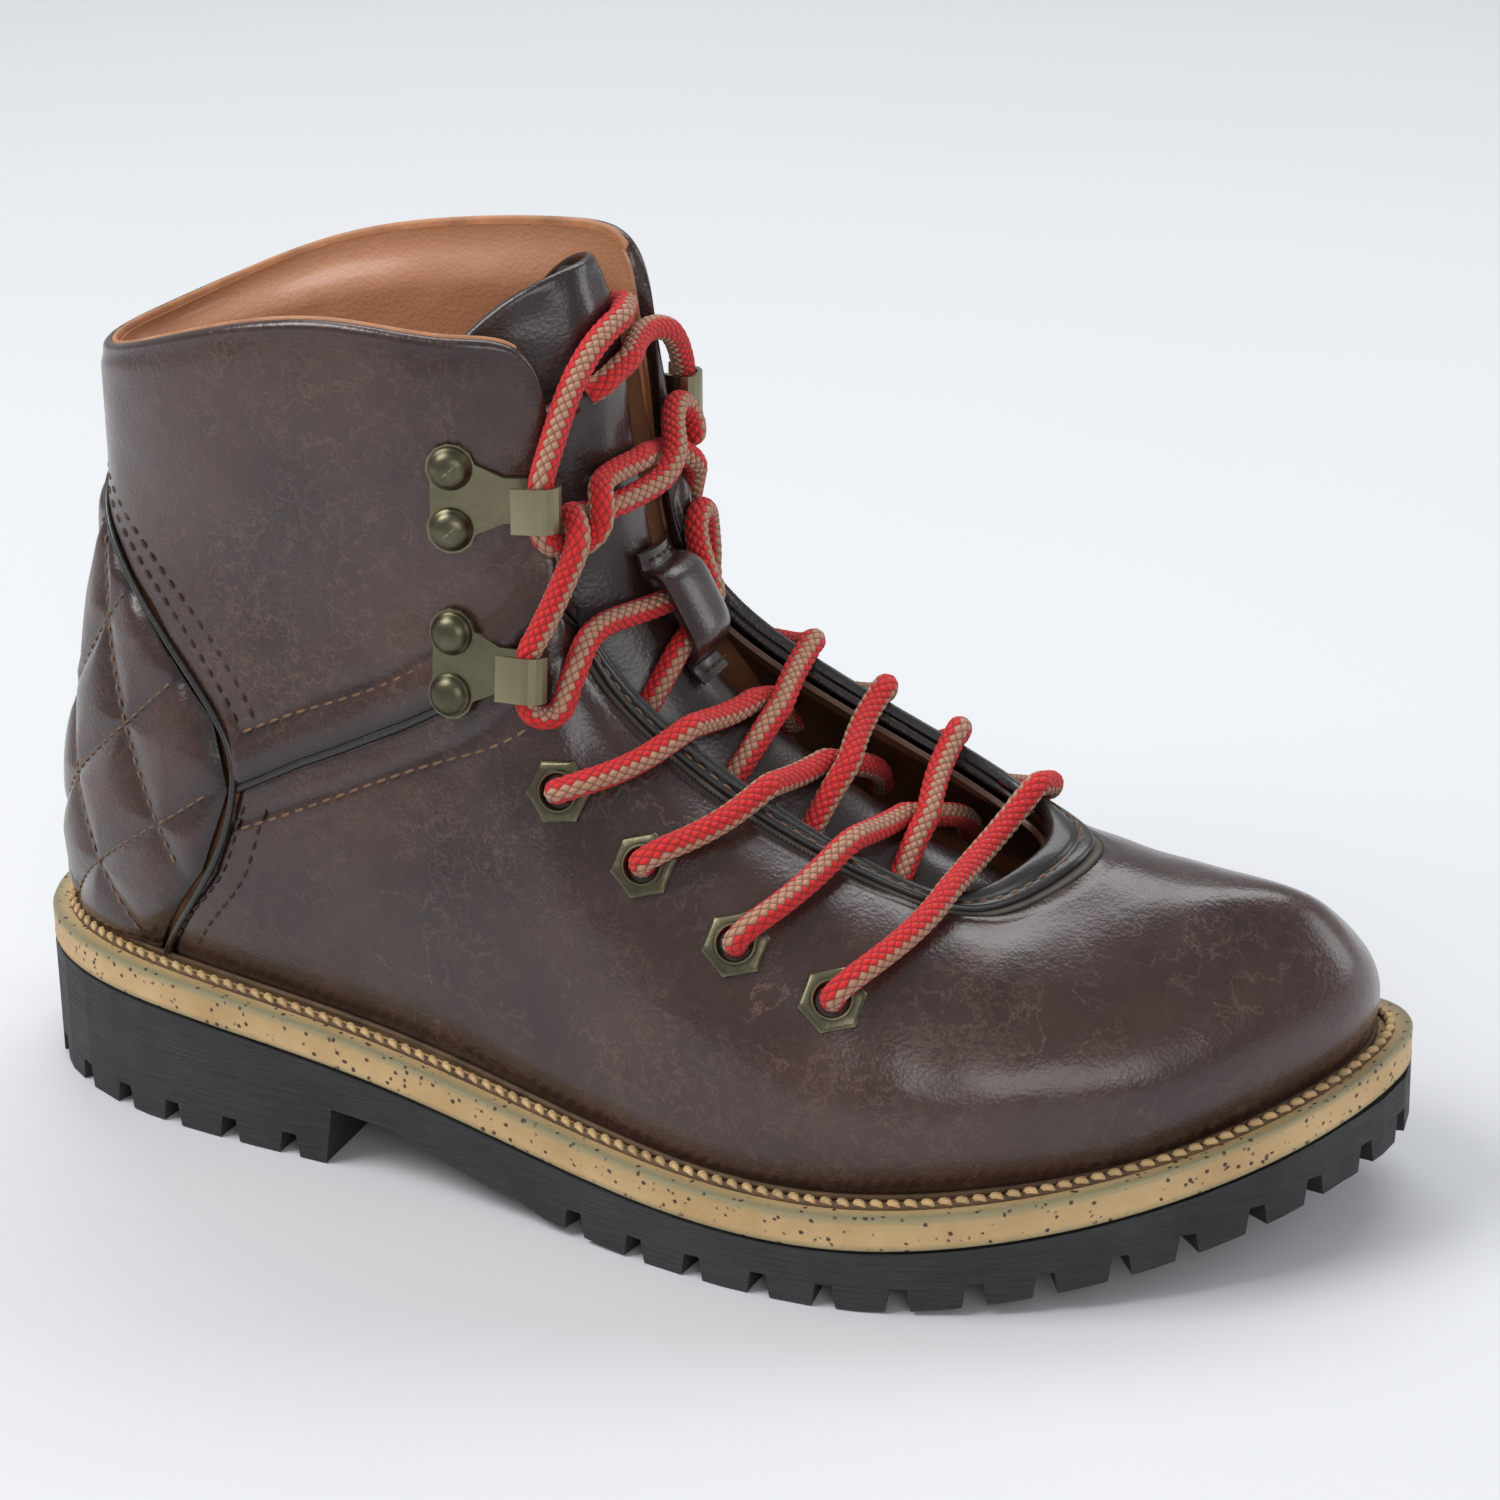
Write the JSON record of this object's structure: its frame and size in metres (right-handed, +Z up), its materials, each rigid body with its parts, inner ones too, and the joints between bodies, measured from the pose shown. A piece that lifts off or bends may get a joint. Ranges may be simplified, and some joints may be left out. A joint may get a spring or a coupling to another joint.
{
  "type": "hiking boot",
  "caption": "Laced ankle-high leather hiking boot for the right foot, with a lugged rubber sole, quilted heel patch and tan lining",
  "frame": {"origin": "middle of the boot's bounding box, on the ground", "axes": "+X to the toe, +Y to the medial (inner) side, +Z up"},
  "size_m": [0.2954, 0.1168, 0.188],
  "materials": {
    "black_rubber": "matte moulded rubber",
    "tan_rubber": "speckled tan rubber",
    "board": "fibre board",
    "steel": "sprung steel strip",
    "footbed": "foam with a fabric face",
    "brown_leather": "semi-gloss creased leather",
    "black_edge": "folded black edge",
    "tan_lining": "soft pebbled leather",
    "foam": "open foam",
    "stiffener": "thermoplastic board",
    "tongue_mesh": "spacer mesh",
    "antique_brass": "aged brass",
    "red_lace": "round braid, red with tan stripes",
    "lace_tip": "moulded tip"
  },
  "bodies": {
    "boot": {"outsole": "black_rubber", "midsole": "tan_rubber", "shank": "steel", "welt": "tan_rubber", "insole_board": "board", "footbed": "footbed", "lower_upper": "brown_leather", "ankle_panel_lateral": "brown_leather", "ankle_panel_medial": "brown_leather", "heel_patch": "brown_leather", "lining": "tan_lining", "collar_padding": "foam", "heel_counter": "stiffener", "toe_puff": "stiffener", "facing_lateral": "black_edge", "facing_medial": "black_edge", "eyelet_lateral_1": "antique_brass", "eyelet_lateral_2": "antique_brass", "eyelet_lateral_3": "antique_brass", "eyelet_lateral_4": "antique_brass", "eyelet_medial_1": "antique_brass", "eyelet_medial_2": "antique_brass", "eyelet_medial_3": "antique_brass", "eyelet_medial_4": "antique_brass", "gusset_lateral": "brown_leather", "gusset_medial": "brown_leather", "hook_lateral_lower": "antique_brass", "rivet_lateral_lower_top": "antique_brass", "rivet_lateral_lower_bottom": "antique_brass", "hook_lateral_upper": "antique_brass", "rivet_lateral_upper_top": "antique_brass", "rivet_lateral_upper_bottom": "antique_brass", "hook_medial_lower": "antique_brass", "rivet_medial_lower_top": "antique_brass", "rivet_medial_lower_bottom": "antique_brass", "hook_medial_upper": "antique_brass", "rivet_medial_upper_top": "antique_brass", "rivet_medial_upper_bottom": "antique_brass", "lace": "red_lace", "lace_tip_1": "lace_tip", "lace_tip_2": "lace_tip"},
    "tongue": {"tongue": "brown_leather", "tongue_lining": "tongue_mesh", "tongue_loop": "brown_leather"}
  },
  "joints": [
    {"name": "tongue_swing", "type": "hinge", "parent": "boot", "child": "tongue", "pos_m": [0.08495, 0.0073, 0.0585], "axis": [0, 1, 0], "range_deg": [-6, 0], "stiffness_Nm_per_rad": 0.5, "springref_deg": 5.73, "deforming": ["gusset_lateral", "gusset_medial", "lace"]}
  ]
}
